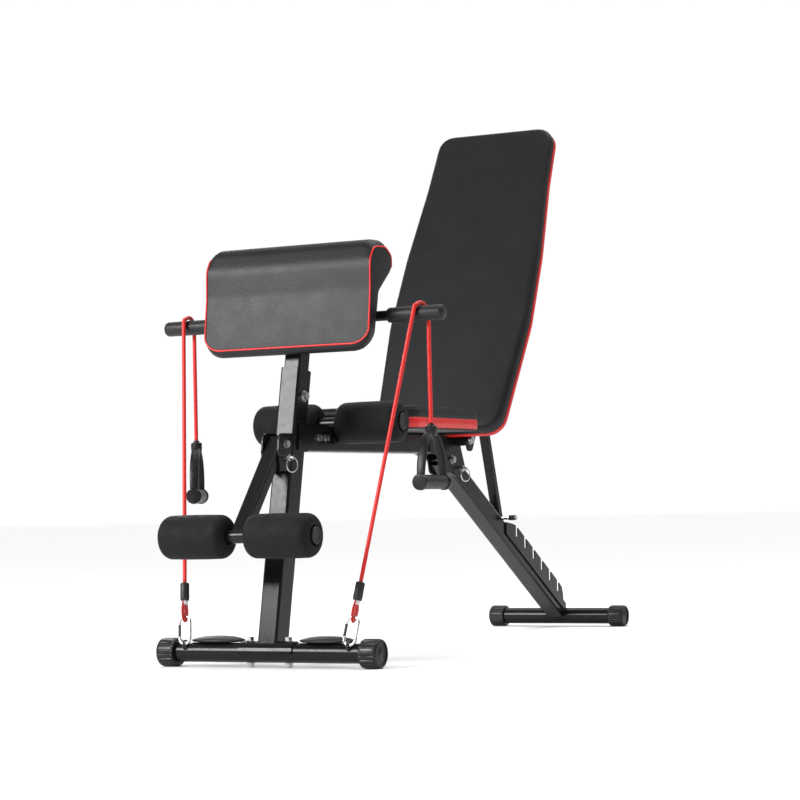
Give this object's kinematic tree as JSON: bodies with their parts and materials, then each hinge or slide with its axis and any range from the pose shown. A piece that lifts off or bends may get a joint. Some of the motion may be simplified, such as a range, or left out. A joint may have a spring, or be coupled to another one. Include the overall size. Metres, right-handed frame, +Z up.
{
  "type": "decline sit up bench",
  "caption": "Folding sit-up bench on two tube feet: reclining backrest on a notched rack, seat, foam leg rollers, height-adjustable arm pad with handlebar, clip-on cords with stirrup handles",
  "frame": {"origin": "on the floor, under the middle of the bounding box", "axes": "+Z up; +Y from the front foot, with the leg rollers, to the rear foot; +X to the right of someone who faces the front of the bench"},
  "size_m": [0.596, 1.4673, 1.1074],
  "materials": {
    "black_steel": "gloss powder coat",
    "zinc": "zinc plated",
    "black_vinyl": "fine-grained vinyl over foam",
    "black_foam": "matte closed-cell foam",
    "black_plastic": "moulded, satin",
    "board": "black backing board",
    "grip_foam": "matte foam",
    "red_cord": "satin",
    "red_webbing": "woven",
    "clip_steel": "bright plated"
  },
  "bodies": {
    "frame": {"front_foot_tube": "black_steel", "front_foot_cap_left": "black_plastic", "front_foot_cap_right": "black_plastic", "foot_bolt_left": "zinc", "foot_bolt_right": "zinc", "footplate_left": "black_plastic", "footplate_right": "black_plastic", "front_post": "black_steel", "clamp_screw": "zinc", "arm_bracket": "black_steel", "arm_pivot_bolt": "zinc", "beam_plate_left": "black_steel", "beam_plate_right": "black_steel", "beam_bolt_front": "zinc", "beam_bolt_rear": "zinc", "seat_beam": "black_steel", "upper_roller_bar": "black_steel", "seat_board": "board", "seat_pad": "black_vinyl", "rear_plate_left": "black_steel", "rear_plate_right": "black_steel", "leg_pivot_bolt": "zinc", "hinge_tube": "black_steel", "hinge_bolt": "zinc", "cord_end_left": "red_webbing", "cord_end_right": "red_webbing", "clip_left": "clip_steel", "clip_right": "clip_steel"},
    "roller_arm": {"roller_arm": "black_steel", "lower_roller_bar": "black_steel"},
    "upper_roller_left": {"upper_roller_left": "black_foam"},
    "upper_roller_right": {"upper_roller_right": "black_foam"},
    "lower_roller_left": {"lower_roller_left": "black_foam"},
    "lower_roller_right": {"lower_roller_right": "black_foam"},
    "arm_lock_pin": {"arm_lock_pin": "zinc"},
    "leg_lock_pin": {"leg_lock_pin": "zinc"},
    "rear_leg": {"rear_leg": "black_steel", "rack_plate_left": "black_steel", "rack_plate_right": "black_steel", "rear_foot_tube": "black_steel", "rear_foot_cap_left": "black_plastic", "rear_foot_cap_right": "black_plastic"},
    "backrest": {"backrest_tube": "black_steel", "hinge_ear_left": "black_steel", "hinge_ear_right": "black_steel", "backrest_board": "board", "backrest_pad": "black_vinyl", "strut_bolt": "zinc"},
    "support_strut": {"support_strut": "black_steel", "rack_pin": "zinc"},
    "curl_post": {"inner_post": "black_steel", "handlebar": "black_steel", "grip_left": "grip_foam", "grip_right": "grip_foam", "curl_pad_board": "board", "curl_pad": "black_vinyl", "cord_left": "red_cord", "cord_right": "red_cord"},
    "handle_left": {"handle_left": "black_plastic"},
    "handle_right": {"handle_right": "black_plastic"}
  },
  "joints": [
    {"name": "backrest_recline", "type": "hinge", "parent": "frame", "child": "backrest", "pos_m": [0, 0.1497, 0.42], "axis": [-1, 0, 0], "range_deg": [0, 82]},
    {"name": "strut_swing", "type": "hinge", "parent": "backrest", "child": "support_strut", "pos_m": [0, 0.2809, 0.61131], "axis": [1, 0, 0], "range_deg": [0, 119]},
    {"name": "rear_leg_fold", "type": "hinge", "parent": "frame", "child": "rear_leg", "pos_m": [0, 0.125, 0.379], "axis": [-1, 0, 0], "range_deg": [0, 124]},
    {"name": "roller_arm_fold", "type": "hinge", "parent": "frame", "child": "roller_arm", "pos_m": [0, -0.557, 0.4045], "axis": [-1, 0, 0], "range_deg": [0, 70]},
    {"name": "curl_pad_height", "type": "slide", "parent": "frame", "child": "curl_post", "axis": [0, 0.2079, 0.9781], "range_m": [0, 0.08]},
    {"name": "upper_roller_left_spin", "type": "hinge", "parent": "frame", "child": "upper_roller_left", "pos_m": [-0.089, -0.352, 0.4453], "axis": [1, 0, 0], "continuous": true},
    {"name": "upper_roller_right_spin", "type": "hinge", "parent": "frame", "child": "upper_roller_right", "pos_m": [0.089, -0.352, 0.4453], "axis": [1, 0, 0], "continuous": true},
    {"name": "lower_roller_left_spin", "type": "hinge", "parent": "roller_arm", "child": "lower_roller_left", "pos_m": [-0.089, -0.6943, 0.2392], "axis": [1, 0, 0], "continuous": true},
    {"name": "lower_roller_right_spin", "type": "hinge", "parent": "roller_arm", "child": "lower_roller_right", "pos_m": [0.089, -0.6943, 0.2392], "axis": [1, 0, 0], "continuous": true},
    {"name": "handle_left_swing", "type": "hinge", "parent": "curl_post", "child": "handle_left", "pos_m": [-0.25, -0.4342, 0.415], "axis": [1, 0, 0], "range_deg": [-30, 30]},
    {"name": "handle_right_swing", "type": "hinge", "parent": "curl_post", "child": "handle_right", "pos_m": [0.256, -0.4342, 0.43], "axis": [1, 0, 0], "range_deg": [-30, 30]},
    {"name": "arm_lock_pull", "type": "slide", "parent": "frame", "child": "arm_lock_pin", "axis": [1, 0, 0], "range_m": [0, 0.012], "stiffness_N_per_m": 600},
    {"name": "leg_lock_pull", "type": "slide", "parent": "frame", "child": "leg_lock_pin", "axis": [1, 0, 0], "range_m": [0, 0.012], "stiffness_N_per_m": 600}
  ],
  "couplings": [
    {"joint": "strut_swing", "follows": "backrest_recline", "ratio": 1.4462}
  ]
}
